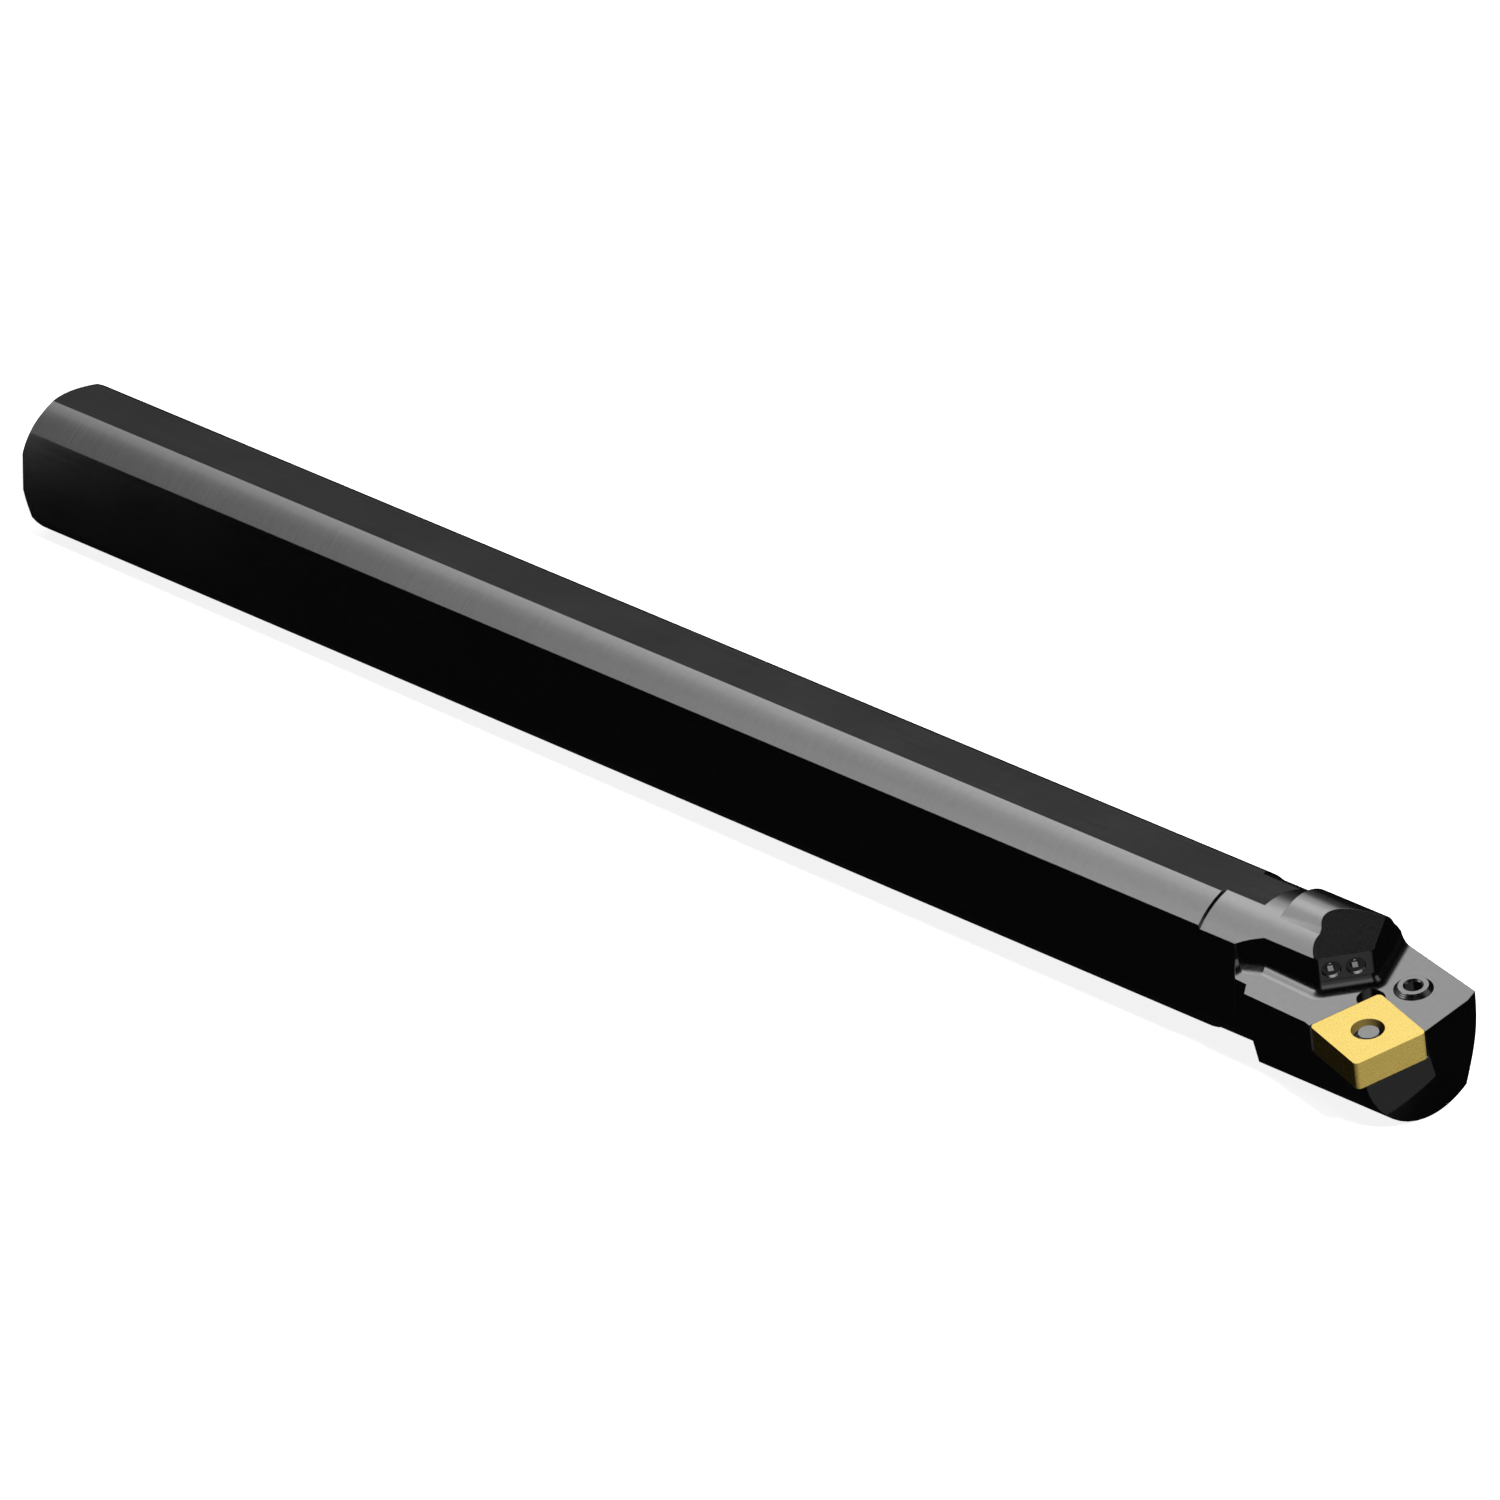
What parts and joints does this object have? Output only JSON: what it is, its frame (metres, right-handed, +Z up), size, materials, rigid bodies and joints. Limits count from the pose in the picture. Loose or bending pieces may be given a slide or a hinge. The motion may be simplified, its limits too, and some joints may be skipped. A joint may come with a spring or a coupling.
{
  "type": "boring bar",
  "caption": "Internal turning bar with ground flats, a lever-clamped square insert and coolant jets aimed at the cutting edge.",
  "frame": {"origin": "centre of the shank's rear face, at the mouth of the coolant inlet", "axes": "+X along the shank towards the head, +Z up out of the top flat, -Y to the side the cutting edge points to"},
  "size_m": [0.3031, 0.0293, 0.0276],
  "materials": {
    "black_steel": "blackened, satin",
    "coated_carbide": "gold coloured hard coating, fine matt",
    "lever_steel": "hardened, bare",
    "screw_steel": "blackened, ground top"
  },
  "bodies": {
    "bar": {"bar_body": "black_steel", "insert": "coated_carbide", "outer_nozzle": "screw_steel", "inner_nozzle": "screw_steel"},
    "screw": {"clamp_screw": "screw_steel"},
    "lever": {"clamp_lever": "lever_steel"}
  },
  "joints": [
    {"name": "screw_travel", "type": "slide", "parent": "bar", "child": "screw", "axis": [0.0467, -0.2037, 0.9779], "range_m": [0, 0.0004]},
    {"name": "lever_tilt", "type": "hinge", "parent": "bar", "child": "lever", "pos_m": [0.29513, -0.00783, -0.00532], "axis": [0.9938, 0.108, -0.025], "range_deg": [0, 2.5]}
  ],
  "couplings": [
    {"joint": "lever_tilt", "follows": "screw_travel", "rad_per_m": 105.1}
  ]
}
